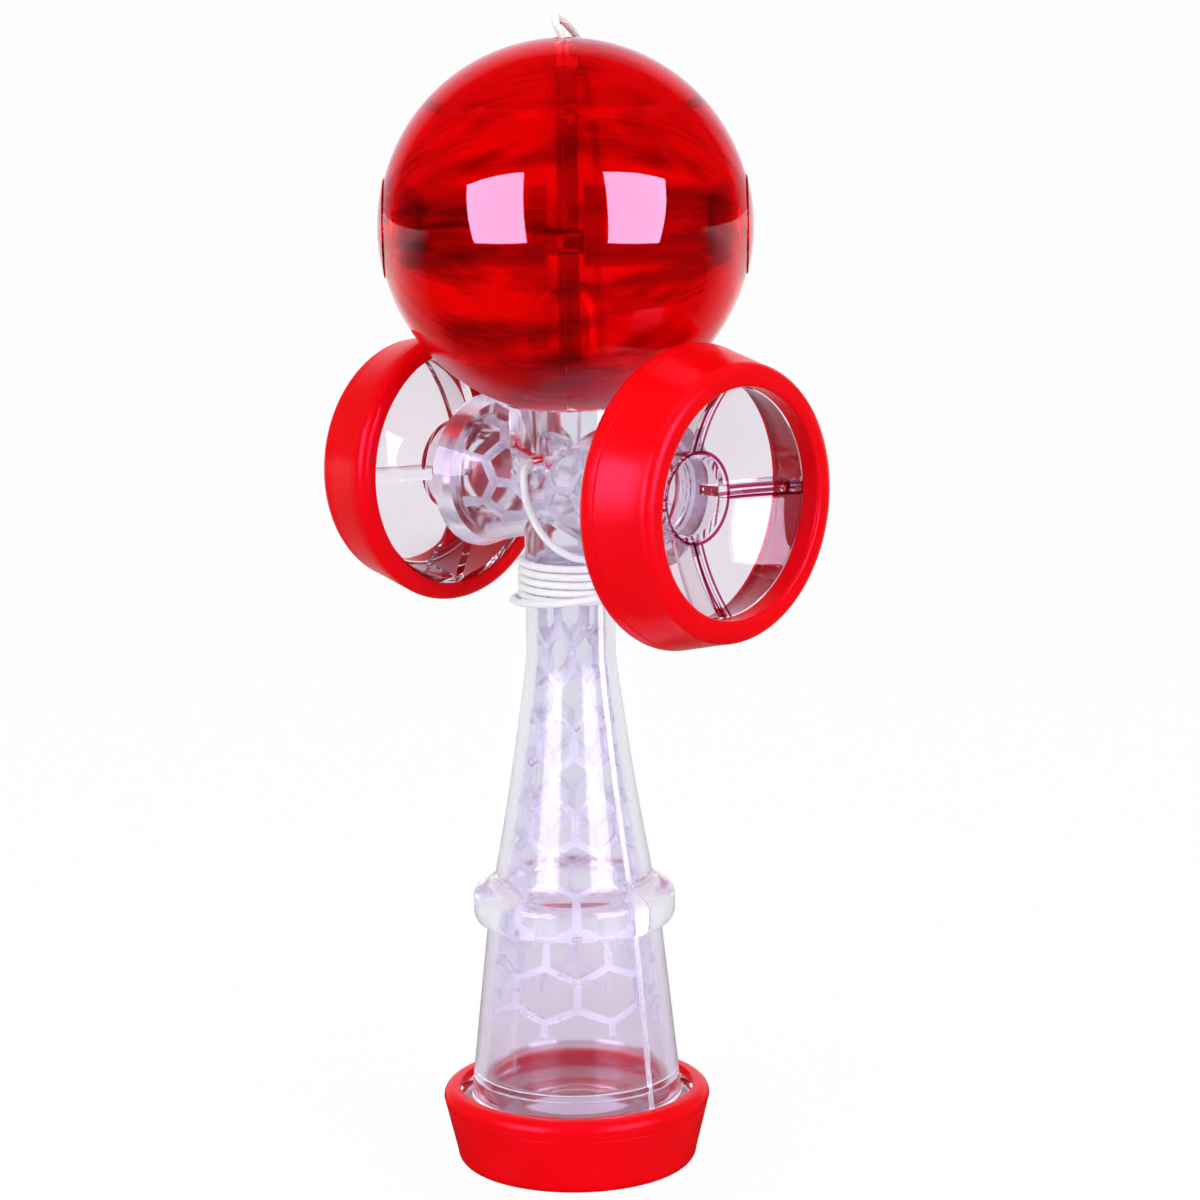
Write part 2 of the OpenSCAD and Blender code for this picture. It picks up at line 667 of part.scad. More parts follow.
// Least gap between stretches of the winding that aren't neighbours along it
skip = 6;
winding_gap = min([for (i = [0 : len(winding_path) - 1 - skip], j = [i + skip : len(winding_path) - 1])
    norm(winding_path[i] - winding_path[j])]) - string_d;
echo(str("string winding, least gap to itself in mm: ", winding_gap));

module ken_front_shell() { color(clear_col) ken_half(-1); }
module ken_back_shell() { color(clear_col) ken_half(1); }
module front_handle_net() { color(frost_col) handle_net(-1); }
module back_handle_net() { color(frost_col) handle_net(1); }
module front_barrel_net() { color(frost_col) barrel_net(-1); }
module back_barrel_net() { color(frost_col) barrel_net(1); }
module big_cup_dish() { color(clear_col) at_big_cup() side_dish(big_r); }
module small_cup_dish() { color(clear_col) at_small_cup() side_dish(small_r); }
module base_cup_dish() { color(clear_col) base_dish(); }
module big_cup_ring() { color(rubber_col) at_big_cup() cup_ring(big_r); }
module small_cup_ring() { color(rubber_col) at_small_cup() cup_ring(small_r); }
module base_cup_ring() { color(rubber_col) cup_ring(base_r); }
// Knot with a flat above and below
knot_h = 0.8 * knot_d;
module knot() {
    intersection() {
        sphere(d = knot_d);
        cylinder(d = knot_d, h = knot_h, center = true);
    }
}

// Knot behind the string hole, which the string meets on its flat
anchor_y = lead_route[0][1] + knot_h / 2;
module anchor_knot() { color(string_col) along_y(string_hole_z) translate([0, 0, anchor_y]) knot(); }
module string_winding() { color(string_col) tube(winding_path, string_d, 6); }
module string_run() { color(string_col) tube(through(run_route, 2), string_d, 8); }

// Stop bead under the ball's top hole and the knot below it
bead_z = ball_z + ball_in - flange_depth - 3 * fit - bead_d / 2;
knot_z = run_route[len(run_route) - 1][2] - fit - knot_h / 2;
bead_hole_d = string_d + 8 * fit;
module string_bead() {
    color(frost_col) translate([0, 0, bead_z]) difference() {
        sphere(d = bead_d);
        cylinder(d = bead_hole_d, h = far, center = true);
    }
}
module string_knot() { color(string_col) translate([0, 0, knot_z]) knot(); }
module tama_left_half() { color(ball_col) at_ball() tama_half(left_flange_w, true); }
module tama_right_half() { color(ball_col) at_ball() rotate([0, 0, 180]) tama_half(right_flange_w, false); }
module left_cap() { color(ball_col) cap(-1); }
module right_cap() { color(ball_col) cap(1); }
module left_cells() { color(steel_col) cells(-1); }
module right_cells() { color(steel_col) cells(1); }
module left_contact() { color(brass_col) contact(-1); }
module right_contact() { color(brass_col) contact(1); }
module left_board() { color(board_col) board(-1); }
module right_board() { color(board_col) board(1); }
module left_led() { color(led_col) led(-1); }
module right_led() { color(led_col) led(1); }

ken_front_shell();
ken_back_shell();
front_handle_net();
back_handle_net();
front_barrel_net();
back_barrel_net();
big_cup_dish();
small_cup_dish();
base_cup_dish();
big_cup_ring();
small_cup_ring();
base_cup_ring();
anchor_knot();
string_winding();
string_run();
string_bead();
string_knot();
tama_left_half();
tama_right_half();
left_cap();
right_cap();
left_cells();
right_cells();
left_contact();
right_contact();
left_board();
right_board();
left_led();
right_led();
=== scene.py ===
"""Looks of the clear kendama with red rings and a translucent red ball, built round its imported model."""
import json
import math

import bpy
import numpy as np
from mathutils import Matrix, Vector


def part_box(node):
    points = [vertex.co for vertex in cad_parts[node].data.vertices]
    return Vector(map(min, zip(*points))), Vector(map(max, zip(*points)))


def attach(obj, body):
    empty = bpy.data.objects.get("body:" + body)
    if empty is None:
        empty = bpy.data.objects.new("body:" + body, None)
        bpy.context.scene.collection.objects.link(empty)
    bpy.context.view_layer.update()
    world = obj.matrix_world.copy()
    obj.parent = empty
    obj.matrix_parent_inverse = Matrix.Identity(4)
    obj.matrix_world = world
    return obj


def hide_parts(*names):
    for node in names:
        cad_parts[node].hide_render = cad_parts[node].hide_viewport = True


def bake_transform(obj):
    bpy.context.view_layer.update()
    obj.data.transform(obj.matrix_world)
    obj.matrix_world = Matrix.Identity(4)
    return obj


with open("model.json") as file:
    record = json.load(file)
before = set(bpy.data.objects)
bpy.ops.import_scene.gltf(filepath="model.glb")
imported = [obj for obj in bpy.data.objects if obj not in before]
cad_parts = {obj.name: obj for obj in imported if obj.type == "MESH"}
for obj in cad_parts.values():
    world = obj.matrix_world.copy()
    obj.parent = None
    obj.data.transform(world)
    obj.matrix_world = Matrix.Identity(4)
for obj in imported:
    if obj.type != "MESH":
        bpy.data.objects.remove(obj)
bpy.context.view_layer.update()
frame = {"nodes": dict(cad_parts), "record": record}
scene = bpy.context.scene
scene.view_settings.view_transform = "Standard"

# Light passes many clear walls, one behind the other
BOUNCES = 32
scene.cycles.max_bounces = BOUNCES
scene.cycles.transmission_bounces = BOUNCES
scene.cycles.glossy_bounces = BOUNCES
scene.cycles.transparent_max_bounces = BOUNCES

# Sizes taken from the solids, in metres
MM = 0.001
BALL_CENTRE = Vector((0, 0, 0.1561))
BALL_R = 0.03
BALL_WALL = 0.0026
BARREL_Z = 114.8 * MM


def link(obj):
    """Puts an object into the scene and returns it."""
    scene.collection.objects.link(obj)
    return obj


def centre(node):
    """Middle of a node's box at rest."""
    low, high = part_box(node)
    return (Vector(low) + Vector(high)) / 2


# Camera at the photograph's place
EYE = Vector((0.4348, -0.4571, 0.2173))
AIM = Vector((0.00326, 0.00305, 0.09515))
ROLL = math.radians(-0.67)
LENS = 118.1
SENSOR = 36
SHIFT = (0.0018, -0.0009)
CLIP_START = 0.01


def add_camera():
    """The camera, turned to its aim and then rolled a little about its own axis."""
    data = bpy.data.cameras.new("camera")
    data.lens = LENS
    data.sensor_width = SENSOR
    data.shift_x, data.shift_y = SHIFT
    data.clip_start = CLIP_START
    camera = link(bpy.data.objects.new("camera", data))
    turn = (AIM - EYE).to_track_quat("-Z", "Y").to_matrix().to_4x4()
    camera.matrix_world = Matrix.Translation(EYE) @ turn @ Matrix.Rotation(ROLL, 4, "Z")
    scene.camera = camera


add_camera()

# Meshes: corners that round to the same multiple of WELD are one, and faces that meet at more than
# SMOOTH_ANGLE stay sharp
WELD = 1e-7
SMOOTH_ANGLE = 28


def new_mesh(name, verts, faces):
    """A smooth mesh object from points in metres and faces."""
    mesh = bpy.data.meshes.new(name)
    mesh.from_pydata([tuple(v) for v in verts], [], [tuple(f) for f in faces])
    mesh.update()
    mesh.polygons.foreach_set("use_smooth", [True] * len(mesh.polygons))
    return link(bpy.data.objects.new(name, mesh))


def smooth_copy(node, name):
    """A copy of a node's mesh with joined corners, smooth except where its faces meet at a sharp angle."""
    source = frame["nodes"][node]
    flat = np.empty(len(source.data.vertices) * 3)
    source.data.vertices.foreach_get("co", flat)
    turn = np.array(source.matrix_world)
    points = flat.reshape(-1, 3) @ turn[:3, :3].T + turn[:3, 3]
    keys = np.round(points / WELD).astype(np.int64)
    first, place = np.unique(keys, axis=0, return_index=True, return_inverse=True)[1:]
    place = place.reshape(-1)
    faces = []
    for poly in source.data.polygons:
        face = [int(place[i]) for i in poly.vertices]
        if len(set(face)) == len(face):
            faces.append(face)
    obj = new_mesh(name, points[first], faces)
    obj.data.set_sharp_from_angle(angle=math.radians(SMOOTH_ANGLE))
    return obj


def lathe(name, profile, place, steps):
    """A closed profile of radius and height, turned round the local Z axis and put in its place."""
    n = len(profile)
    verts = []
    for k in range(steps):
        a = 2 * math.pi * k / steps
        for r, z in profile:
            verts.append(place @ Vector((r * math.cos(a), r * math.sin(a), z)))
    faces = []
    for k in range(steps):
        m = (k + 1) % steps
        for i in range(n):
            j = (i + 1) % n
            faces.append((k * n + i, m * n + i, m * n + j, k * n + j))
    return new_mesh(name, verts, faces)


def arc(cx, cy, r, start, end, steps):
    """Points of an arc from one angle to another, in degrees."""
    out = []
    for i in range(steps + 1):
        a = math.radians(start + (end - start) * i / steps)
        out.append((cx + r * math.cos(a), cy + r * math.sin(a)))
    return out


def smooth_route(points, step):
    """Points of a smooth curve through a route, about a step apart."""
    p = [np.array(q, float) for q in points]
    out = []
    for i in range(len(p) - 1):
        a, b, c, d = p[max(i - 1, 0)], p[i], p[i + 1], p[min(i + 2, len(p) - 1)]
        n = max(1, round(np.linalg.norm(c - b) / step))
        for k in range(n):
            t = k / n
            out.append(0.5 * (2 * b + (c - a) * t + (2 * a - 5 * b + 4 * c - d) * t ** 2
                              + (3 * b - a - 3 * c + d) * t ** 3))
    return out + [p[-1]]


def tube(name, path, radius, sides):
    """A closed tube along a path; radius(i, k) gives its size at a ring and a side."""
    path = np.array(path)
    ahead = np.gradient(path, axis=0)
    ahead /= np.linalg.norm(ahead, axis=1)[:, None]
    first = np.cross(ahead[0], (1.0, 0.0, 0.0))
    normal = first / np.linalg.norm(first)
    verts = []
    for i, (point, t) in enumerate(zip(path, ahead)):
        normal = normal - t * normal.dot(t)
        normal /= np.linalg.norm(normal)
        other = np.cross(t, normal)
        for k in range(sides):
            a = 2 * math.pi * k / sides
            verts.append(point + radius(i, k) * (normal * math.cos(a) + other * math.sin(a)))
    faces = []
    for i in range(len(path) - 1):
        for k in range(sides):
            m = (k + 1) % sides
            faces.append((i * sides + k, i * sides + m, (i + 1) * sides + m, (i + 1) * sides + k))
    faces.append(tuple(range(sides - 1, -1, -1)))
    last = (len(path) - 1) * sides
    faces.append(tuple(last + k for k in range(sides)))
    return new_mesh(name, verts, faces)


# Shader nodes; a noise texture stays mostly between NOISE_LOW and NOISE_HIGH
NOISE_LOW = 0.3
NOISE_HIGH = 0.7
NUMBER_RESULTS = ("LENGTH", "DOT_PRODUCT")


def new_material(name):
    """A material with a Principled shader; returns it, its node tree and the shader."""
    mat = bpy.data.materials.new(name)
    mat.use_nodes = True
    return mat, mat.node_tree, mat.node_tree.nodes["Principled BSDF"]


def feed(tree, socket, source):
    """Links a socket to another one, or sets it to a fixed value."""
    if isinstance(source, bpy.types.NodeSocket):
        tree.links.new(source, socket)
    else:
        socket.default_value = source


def feed_in_order(tree, node, sources):
    """Feeds a node's first sockets in their order."""
    for socket, source in zip(node.inputs, sources):
        feed(tree, socket, source)


def feed_by_name(tree, node, sources):
    """Feeds a node's sockets by their names."""
    for name, source in sources.items():
        feed(tree, node.inputs[name], source)


def number(tree, operation, *sources):
    """Result of a Math node."""
    node = tree.nodes.new("ShaderNodeMath")
    node.operation = operation
    feed_in_order(tree, node, sources)
    return node.outputs["Value"]


def vector_math(tree, operation, *sources):
    """Result of a Vector Math node, a number where the operation gives one."""
    node = tree.nodes.new("ShaderNodeVectorMath")
    node.operation = operation
    feed_in_order(tree, node, sources)
    return node.outputs["Value" if operation in NUMBER_RESULTS else "Vector"]


def coordinate(tree, kind="Object"):
    """A texture coordinate of the shaded point."""
    return tree.nodes.new("ShaderNodeTexCoord").outputs[kind]


def parts(tree, source):
    """The X, Y and Z of a vector."""
    node = tree.nodes.new("ShaderNodeSeparateXYZ")
    tree.links.new(source, node.inputs["Vector"])
    return [node.outputs[axis] for axis in "XYZ"]


def noise(tree, scale, detail=3.0, where=None):
    """A noise texture on a vector, or in cells per metre of the object's own coordinates."""
    node = tree.nodes.new("ShaderNodeTexNoise")
    if where is None:
        where = coordinate(tree)
    feed_by_name(tree, node, {"Vector": where, "Scale": scale, "Detail": detail})
    return node.outputs["Fac"]


def ramp(tree, fac, low, high, start=NOISE_LOW, end=NOISE_HIGH):
    """A colour that runs from low to high as a factor goes from start to end."""
    node = tree.nodes.new("ShaderNodeValToRGB")
    node.color_ramp.elements[0].position = start
    node.color_ramp.elements[1].position = end
    node.color_ramp.elements[0].color = (*low, 1)
    node.color_ramp.elements[1].color = (*high, 1)
    tree.links.new(fac, node.inputs["Fac"])
    return node.outputs["Color"]


def spread(tree, value, low, high, start=NOISE_LOW, end=NOISE_HIGH):
    """A number that runs from low to high as a value goes from start to end."""
    node = tree.nodes.new("ShaderNodeMapRange")
    feed_by_name(tree, node, {"Value": value, "From Min": start, "From Max": end,
                              "To Min": low, "To Max": high})
    return node.outputs["Result"]


def mix_colours(tree, factor, first, second, blend="MIX"):
    """A colour mixed from two."""
    node = tree.nodes.new("ShaderNodeMix")
    node.data_type = "RGBA"
    node.blend_type = blend
    feed_by_name(tree, node, {"Factor": factor, "A": first, "B": second})
    return node.outputs["Result"]


def mix_shaders(tree, factor, first, second):
    """A shader mixed from two."""
    node = tree.nodes.new("ShaderNodeMixShader")
    feed_in_order(tree, node, (factor, first, second))
    return node.outputs["Shader"]


def emission(tree, colour, strength):
    """A shader that glows."""
    node = tree.nodes.new("ShaderNodeEmission")
    feed_by_name(tree, node, {"Color": colour, "Strength": strength})
    return node.outputs["Emission"]


def show(tree, shader):
    """Puts a shader on a material's surface."""
    tree.links.new(shader, tree.nodes["Material Output"].inputs["Surface"])


def bump(tree, shader, height, strength, distance):
    """Raises the shader's surface by a height texture."""
    node = tree.nodes.new("ShaderNodeBump")
    feed_by_name(tree, node, {"Strength": strength, "Distance": distance, "Height": height})
    tree.links.new(node.outputs["Normal"], shader.inputs["Normal"])


def let_lamps_through(tree, shader, tint):
    """Lamps shine through the material, so that what is inside it is lit."""
    shadow = tree.nodes.new("ShaderNodeLightPath").outputs["Is Shadow Ray"]
    clear = tree.nodes.new("ShaderNodeBsdfTransparent")
    clear.inputs["Color"].default_value = (*tint, 1)
    show(tree, mix_shaders(tree, shadow, shader.outputs["BSDF"], clear.outputs["BSDF"]))


# Clear plastic
CLEAR_TINTS = ((0.84, 0.77, 0.84), (0.89, 0.83, 0.89))
SHELL_TINTS = ((0.84, 0.835, 0.895), (0.9, 0.895, 0.945))
CLEAR_ROUGH = (0.01, 0.035)
SHELL_ROUGH = (0.08, 0.14)
SEAM_ROUGH = 0.4
SEAM_SIDE = 0.06 * MM

# Painted shade and painted red reflection of the rings: dark red lines where a cup's ribs and hub meet the
# back of its dish.
# FACES_OUT is the least product of how far a face turns outward and how far out it lies, in metres.
SHADE_LINE_RED = (0.17, 0.001, 0.018, 1)
LINE_HALF = 0.26 * MM
HUB_LINE_R = 7.3 * MM
RIB_LINE_OFF = 0.8 * MM
CUP_AXIS = (0, 0, BARREL_Z)
FACES_OUT = 0.015


def painted_rib_shade(tree):
    """A factor that is 1 on the painted shade lines of ribs and hub, on the faces that look out of a cup."""
    x, y, z = parts(tree, vector_math(tree, "SUBTRACT", coordinate(tree), CUP_AXIS))
    normal_x = parts(tree, coordinate(tree, "Normal"))[0]
    squares = number(tree, "ADD", number(tree, "MULTIPLY", y, y), number(tree, "MULTIPLY", z, z))
    reach = number(tree, "SQRT", squares)
    hub = number(tree, "COMPARE", reach, HUB_LINE_R, LINE_HALF)
    upright = number(tree, "COMPARE", number(tree, "ABSOLUTE", y), RIB_LINE_OFF, LINE_HALF)
    level = number(tree, "COMPARE", number(tree, "ABSOLUTE", z), RIB_LINE_OFF, LINE_HALF)
    beyond = number(tree, "GREATER_THAN", reach, HUB_LINE_R)
    ribs = number(tree, "MULTIPLY", beyond, number(tree, "MAXIMUM", upright, level))
    outward = number(tree, "GREATER_THAN", number(tree, "MULTIPLY", normal_x, x), FACES_OUT)
    return number(tree, "MULTIPLY", number(tree, "MAXIMUM", hub, ribs), outward)


def clear_material(name, tints, seam=None, shade_lines=False):
    """Clear plastic between two tints. With a seam, faces within that distance of the plane where two
    halves meet are matt. With the lines flag set, dark red lines of painted shade and painted red reflection
    are drawn where a cup's ribs and hub meet its dish."""
    mat, tree, shader = new_material(name)
    shader.inputs["IOR"].default_value = 1.49
    shader.inputs["Specular Tint"].default_value = (0.32, 0.31, 0.35, 1)
    shader.inputs["Transmission Weight"].default_value = 1.0
    cloud = noise(tree, scale=60)
    colour = ramp(tree, cloud, *tints)
    if shade_lines:
        # Painted shade and painted red reflection: dark red lines where the ribs and hub meet the dish
        colour = mix_colours(tree, painted_rib_shade(tree), colour, SHADE_LINE_RED)
    tree.links.new(colour, shader.inputs["Base Color"])
    if seam:
        off = number(tree, "ABSOLUTE", parts(tree, coordinate(tree))[1])
        rough = spread(tree, off, SEAM_ROUGH, spread(tree, cloud, *SHELL_ROUGH), start=seam, end=2 * seam)
    else:
        rough = spread(tree, cloud, *CLEAR_ROUGH)
    tree.links.new(rough, shader.inputs["Roughness"])
    bump(tree, shader, noise(tree, scale=110, detail=1.0), strength=0.06, distance=0.4 * MM)
    let_lamps_through(tree, shader, tint=(0.93, 0.92, 0.95))
    return mat


def frosted_material():
    """Frosted plastic of the honeycomb liners and the bead, which lets part of the light through."""
    mat, tree, shader = new_material("frosted_plastic")
    shader.inputs["IOR"].default_value = 1.32
    shader.inputs["Transmission Weight"].default_value = 0.8
    cloud = noise(tree, scale=300)
    colour = ramp(tree, cloud, low=(0.8, 0.79, 0.85), high=(0.89, 0.88, 0.93))
    tree.links.new(colour, shader.inputs["Base Color"])
    tree.links.new(spread(tree, cloud, low=0.24, high=0.36), shader.inputs["Roughness"])
    bump(tree, shader, noise(tree, scale=2500), strength=0.15, distance=0.1 * MM)
    let_lamps_through(tree, shader, tint=(0.6, 0.6, 0.63))
    return mat


# Reds of the ball's wall, of the ribs along it and of what lies deeper. Each edge between them is a share
# of the ball's radius.
POLE = (centre("right_cap") - centre("left_cap")).normalized()
WALL_RED = (0.96, 0.002, 0.004, 1)
RIB_RED = (0.42, 0.0005, 0.001, 1)
INNER_RED = (0.78, 0.001, 0.003, 1)
RIB_DEPTH = 0.0022
INNER_EDGE = 0.03
RIB_EDGE = 0.006
WALL_EDGE = 0.002

# Streaks in the ball's plastic, long along its pole and narrow round it
STREAK_SCALE = 7
STREAK_DETAIL = 4
STREAK_ALONG = 8
STREAK_GREY = 0.45
STREAK_RANGE = (0.38, 0.48)

# Roughness inside the ball, of its wall's inner face, of its polished outside and round its lower hole
DEEP_ROUGH = 0.2
INSIDE_ROUGH = 0.14
DEEP_RANGE = (20 * MM, 24.5 * MM)
POLISHED_ROUGH = 0.02
POLISHED_RANGE = (BALL_R - 0.6 * MM, BALL_R - 0.2 * MM)
WORN_ROUGH = 0.34
WORN_RANGE = (-14 * MM, -22 * MM)


def ball_colour(tree, offset, reach):
    """Reds by the distance from the ball's centre, with darker streaks along its pole."""
    shades = tree.nodes.new("ShaderNodeValToRGB")
    rib = (BALL_R - BALL_WALL - RIB_DEPTH) / BALL_R
    wall = (BALL_R - BALL_WALL) / BALL_R
    stops = shades.color_ramp.elements
    stops[0].position = rib - INNER_EDGE
    stops[0].color = INNER_RED
    stops[1].position = wall - WALL_EDGE
    stops[1].color = WALL_RED
    stops.new(rib).color = RIB_RED
    stops.new(wall - RIB_EDGE).color = RIB_RED
    tree.links.new(spread(tree, reach, 0, 1, start=0, end=BALL_R), shades.inputs["Fac"])
    along = vector_math(tree, "PROJECT", offset, POLE)
    round_pole = vector_math(tree, "NORMALIZE", vector_math(tree, "SUBTRACT", offset, along))
    where = vector_math(tree, "MULTIPLY_ADD", along, [STREAK_ALONG] * 3, round_pole)
    streak = noise(tree, STREAK_SCALE, STREAK_DETAIL, where)
    greys = ramp(tree, streak, [STREAK_GREY] * 3, (1, 1, 1), *STREAK_RANGE)
    return mix_colours(tree, 1.0, shades.outputs["Color"], greys, "MULTIPLY")


def ball_material():
    """Red clear plastic with streaks, polished outside, less so inside and round its lower hole."""
    mat, tree, shader = new_material("red_clear_plastic")
    shader.inputs["IOR"].default_value = 1.5
    shader.inputs["Transmission Weight"].default_value = 1.0
    shader.inputs["Specular Tint"].default_value = (1.0, 0.58, 0.85, 1)
    offset = vector_math(tree, "SUBTRACT", coordinate(tree), BALL_CENTRE)
    reach = vector_math(tree, "LENGTH", offset)
    tree.links.new(ball_colour(tree, offset, reach), shader.inputs["Base Color"])
    inner = spread(tree, reach, DEEP_ROUGH, INSIDE_ROUGH, *DEEP_RANGE)
    polish = spread(tree, reach, inner, POLISHED_ROUGH, *POLISHED_RANGE)
    worn = spread(tree, parts(tree, offset)[2], 0, WORN_ROUGH, *WORN_RANGE)
    tree.links.new(number(tree, "MAXIMUM", polish, worn), shader.inputs["Roughness"])
    let_lamps_through(tree, shader, tint=(0.7, 0.01, 0.01))
    return mat


def rubber_material():
    """Red rubber with a satin finish."""
    mat, tree, shader = new_material("red_rubber")
    shader.inputs["IOR"].default_value = 1.5
    shader.inputs["Specular IOR Level"].default_value = 0.14
    shader.inputs["Specular Tint"].default_value = (1.0, 0.25, 0.7, 1)
    cloud = noise(tree, scale=90)
    colour = ramp(tree, cloud, low=(0.86, 0.001, 0.003), high=(0.93, 0.0015, 0.004))
    tree.links.new(colour, shader.inputs["Base Color"])
    tree.links.new(spread(tree, cloud, low=0.2, high=0.27), shader.inputs["Roughness"])
    bump(tree, shader, noise(tree, scale=1800), strength=0.08, distance=0.1 * MM)
    return mat


def string_material():
    """White fibre."""
    mat, tree, shader = new_material("string")
    shader.inputs["Sheen Weight"].default_value = 0.3
    shader.inputs["Roughness"].default_value = 0.85
    fibre = noise(tree, scale=5000)
    colour = ramp(tree, fibre, low=(0.8, 0.84, 0.83), high=(0.92, 0.96, 0.95))
    tree.links.new(colour, shader.inputs["Base Color"])
    bump(tree, shader, fibre, strength=0.3, distance=0.1 * MM)
    return mat


def cloudy_material(name, low, high, roughness, vary, scale, metallic=0.0):
    """A plain surface whose colour and roughness vary a little."""
    mat, tree, shader = new_material(name)
    shader.inputs["Metallic"].default_value = metallic
    cloud = noise(tree, scale)
    tree.links.new(ramp(tree, cloud, low, high), shader.inputs["Base Color"])
    tree.links.new(spread(tree, cloud, roughness - vary, roughness + vary), shader.inputs["Roughness"])
    return mat


METAL = {"vary": 0.06, "scale": 900, "metallic": 1.0}
PLASTIC = {"vary": 0.08, "scale": 700}
LOOKS = {
    "clear_plastic": clear_material("clear_plastic", CLEAR_TINTS),
    "frosted_plastic": frosted_material(),
    "red_rubber": rubber_material(),
    "red_clear_plastic": ball_material(),
    "string": string_material(),
    "steel": cloudy_material("steel", (0.55, 0.56, 0.58), (0.75, 0.76, 0.78), roughness=0.28, **METAL),
    "brass": cloudy_material("brass", (0.72, 0.5, 0.16), (0.86, 0.64, 0.26), roughness=0.3, **METAL),
    "board": cloudy_material("board", (0.015, 0.05, 0.03), (0.03, 0.08, 0.05), roughness=0.5, **PLASTIC),
    "light": cloudy_material("light", (0.95, 0.55, 0.25), (1.0, 0.7, 0.4), roughness=0.25, **PLASTIC),
}


def finish_piece(obj, slot, body, *nodes, look=None):
    """Gives a new piece its material, hangs it on its body's empty if it has one, and hides the nodes it
    stands for.
    """
    obj.data.materials.clear()
    obj.data.materials.append(look or LOOKS[slot])
    if body:
        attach(obj, body)
    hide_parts(*nodes)
    return obj


for part in frame["record"]["subparts"]:
    shown = frame["nodes"][part["node"]]
    shown.data.materials.clear()
    shown.data.materials.append(LOOKS[part["material_slot"]])

# String: out of its hole, down the crosspiece, round the neck, up behind the ball and down the ball's
# hole, in millimetres
LEAD = [(0, -3.4, 118.6), (0, -4.6, 118.6), (0, -5.6, 118.6), (0, -6.8, 118.6), (0, -8, 118.6),
        (0, -9.2, 118.5), (0, -10.1, 117.9), (0, -10.5, 116.8), (0, -10.4, 115.2), (0, -10.2, 113.5),
        (0.2, -9.8, 111.8), (0.6, -9.3, 110.1), (1.2, -8.8, 108.5), (2.1, -8.3, 107), (3.2, -7.6, 105.6),
        (4.5, -6.8, 104.5), (5.8, -5.6, 103.6), (6.9, -4.1, 103.1), (7.6, -2.4, 102.8)]
RUN = [(-1, 9.5, 100.2), (-2, 9.5, 100.4), (-3.9, 9.6, 101), (-5.6, 9.9, 102.2), (-6.9, 10.5, 104),
       (-7.9, 11.4, 106.4), (-8.7, 12.6, 109.4), (-9.4, 14.1, 113), (-10.2, 15.8, 117), (-11.2, 17.7, 121.5),
       (-12.3, 19.7, 126.5), (-13.5, 21.7, 132), (-14.8, 23.6, 138), (-16, 25.1, 144.5), (-16.8, 26.1, 151),
       (-17, 26.4, 157.5), (-16.4, 25.7, 164), (-15, 23.7, 170.3), (-12.8, 20.5, 176), (-10, 16.3, 181),
       (-7.2, 11.2, 185), (-5, 5.9, 187.9), (-3.2, 1.9, 189), (-1.6, -0.1, 188.5), (-0.8, -0.3, 187.5),
       (-0.2, -0.1, 186.2), (0, 0, 184.6), (0, 0, 182), (0, 0, 179), (0, 0, 175.3)]
WIND_R = 7.95
WIND_TOP = 102.7
WIND_PITCH = 1.35
WIND_TURNS = 5.5
TURN_POINTS = 24
LOOSE_R = 9.5
LOOSE_POINTS = 18
LOOSE_START = 180
LOOSE_SWEEP = 270
LOOSE_HIGH = 100
LOOSE_OUT = 0.2
STRING_D = 1.3
STRING_STEP = 0.25
STRING_SIDES = 12
BRAID_PITCH = 1.6
BRAID_DEPTH = 0.07
BRAID_STRANDS = 3


def winding():
    """Points of the tight turns on the neck and of the loose turn below them."""
    low = WIND_TOP - WIND_PITCH * WIND_TURNS
    out = []
    for i in range(int(TURN_POINTS * WIND_TURNS)):
        a = 2 * math.pi * i / TURN_POINTS
        out.append((WIND_R * math.cos(a), WIND_R * math.sin(a), WIND_TOP - WIND_PITCH * i / TURN_POINTS))
    for i in range(LOOSE_POINTS + 1):
        s = i / LOOSE_POINTS
        a = math.radians(LOOSE_START + LOOSE_SWEEP * s)
        swing = min(1, s / LOOSE_OUT)
        r = WIND_R + (LOOSE_R - WIND_R) * swing * swing * (3 - 2 * swing)
        out.append((r * math.cos(a), r * math.sin(a), low + (LOOSE_HIGH - low) * s * s))
    return out


def braided(i, k):
    """Radius of the braided string at a ring and a side: crossing strands raise it in diamonds."""
    along = 2 * math.pi * i * STRING_STEP / BRAID_PITCH
    around = 2 * math.pi * k / STRING_SIDES
    lift = math.sin(along + BRAID_STRANDS * around) * math.sin(along - BRAID_STRANDS * around)
    return STRING_D / 2 * MM * (1 - BRAID_DEPTH + BRAID_DEPTH * lift)


string_path = [q * MM for q in smooth_route(LEAD + winding() + RUN, STRING_STEP)]
string = tube("string_braided", string_path, braided, STRING_SIDES)
finish_piece(string, "string", None, "string_winding", "string_run")

# Knots at the string's ends
KNOT_SIZE = 1.45 * MM
KNOT_STRING_R = 0.48 * MM
KNOT_POINTS = 72
KNOT_SIDES = 10


def tied_knot(name, turn, body, node):
    """A small overhand knot in a node's place, drawn as a closed trefoil of the string."""
    place = Matrix.Translation(centre(node)) @ turn
    points = []
    for i in range(KNOT_POINTS + 1):
        t = 2 * math.pi * i / KNOT_POINTS
        points.append(place @ Vector((
            KNOT_SIZE * (math.sin(t) + 2 * math.sin(2 * t)) / 3,
            KNOT_SIZE * (math.cos(t) - 2 * math.cos(2 * t)) / 3,
            -KNOT_SIZE * math.sin(3 * t) / 3)))
    obj = tube(name, points, lambda i, k: KNOT_STRING_R, KNOT_SIDES)
    return finish_piece(obj, "string", body, node)


on_edge = Matrix.Rotation(math.radians(90), 4, "X")
anchor = tied_knot("anchor_knot_tied", on_edge, "ken", "anchor_knot")
stop = tied_knot("string_knot_tied", Matrix.Identity(4), "string_end", "string_knot")
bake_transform(string)

